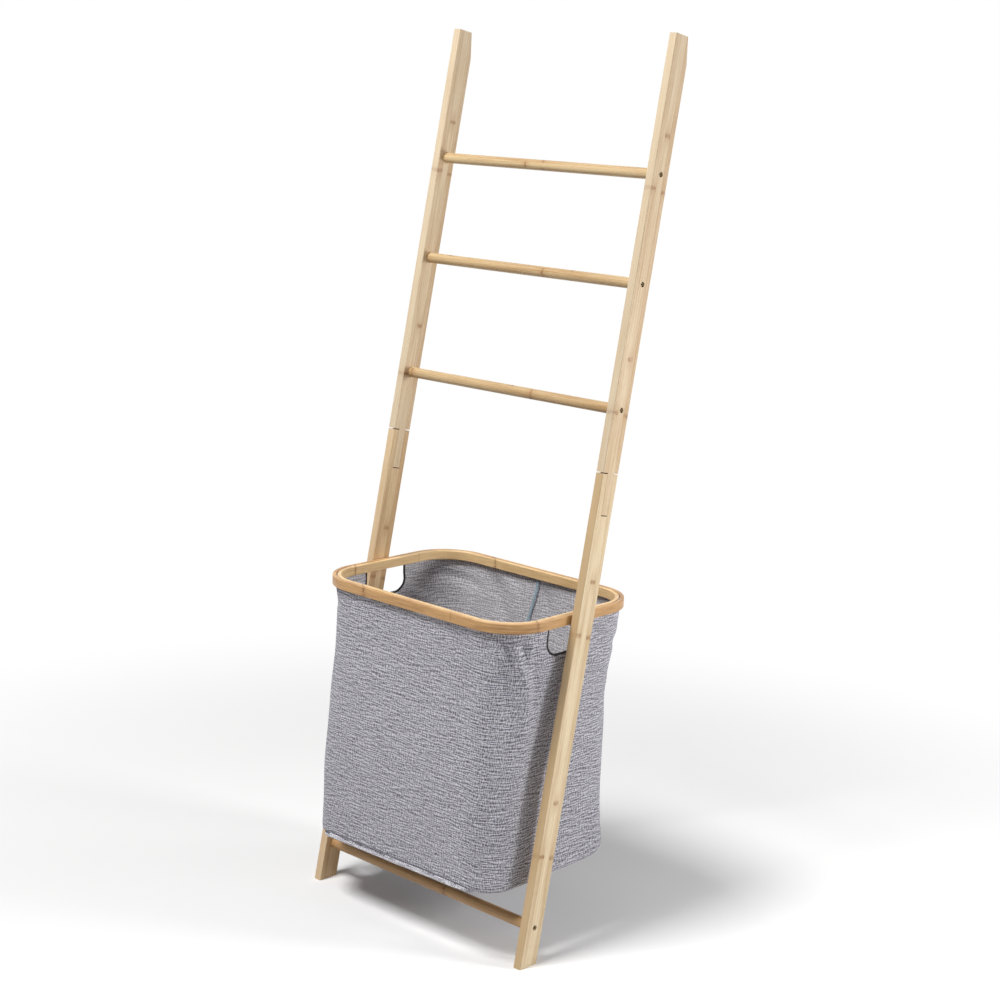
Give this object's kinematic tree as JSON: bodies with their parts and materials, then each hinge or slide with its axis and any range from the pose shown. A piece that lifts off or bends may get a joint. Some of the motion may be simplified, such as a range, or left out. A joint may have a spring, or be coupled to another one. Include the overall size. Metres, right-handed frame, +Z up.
{
  "type": "leaning towel ladder with laundry basket",
  "caption": "Leaning bamboo towel ladder with round rungs and push-together rails, carrying a lift-off laundry basket whose cloth bag hangs from a banded wooden rim.",
  "frame": {"origin": "on the floor, under the middle of the box around the object", "axes": "+Z up, +Y back towards the wall, +X to the right along the rungs, seen from the front"},
  "size_m": [0.545, 0.3802, 1.6519],
  "materials": {
    "rail_bamboo": "pale strip bamboo, satin lacquer, grain along the rail",
    "rung_bamboo": "honey bamboo dowel, satin lacquer",
    "band_bamboo": "golden bent bamboo band, satin lacquer",
    "screw_steel": "zinc-plated steel",
    "peg_steel": "bright plain steel",
    "grey_cloth": "grey flecked linen-look weave",
    "black_tape": "black woven binding tape",
    "base_board": "stiff grey board"
  },
  "bodies": {
    "lower_frame": {"lower_rail_left": "rail_bamboo", "lower_rail_right": "rail_bamboo", "base_rung": "rung_bamboo", "base_rung_screws": "screw_steel", "rim_rest_pegs": "peg_steel"},
    "upper_frame": {"upper_rail_left": "rail_bamboo", "upper_rail_right": "rail_bamboo", "towel_rung_top": "rung_bamboo", "towel_rung_middle": "rung_bamboo", "towel_rung_lower": "rung_bamboo", "towel_rung_screws": "screw_steel"},
    "basket": {"rim_outer_band": "band_bamboo", "rim_inner_band": "band_bamboo", "bag_sleeve": "grey_cloth", "bag_bottom_panel": "grey_cloth", "bag_base_board": "base_board", "bag_bottom_piping": "grey_cloth", "handle_tape_left": "black_tape", "handle_tape_right": "black_tape", "bag_back_seam": "grey_cloth"}
  },
  "joints": [
    {"name": "upper_frame_pull", "type": "slide", "parent": "lower_frame", "child": "upper_frame", "axis": [0, 0.1822, 0.9833], "range_m": [0, 0.075]},
    {"name": "basket_lift", "type": "slide", "parent": "lower_frame", "child": "basket", "axis": [0, 0, 1], "range_m": [0, 0.34]}
  ]
}
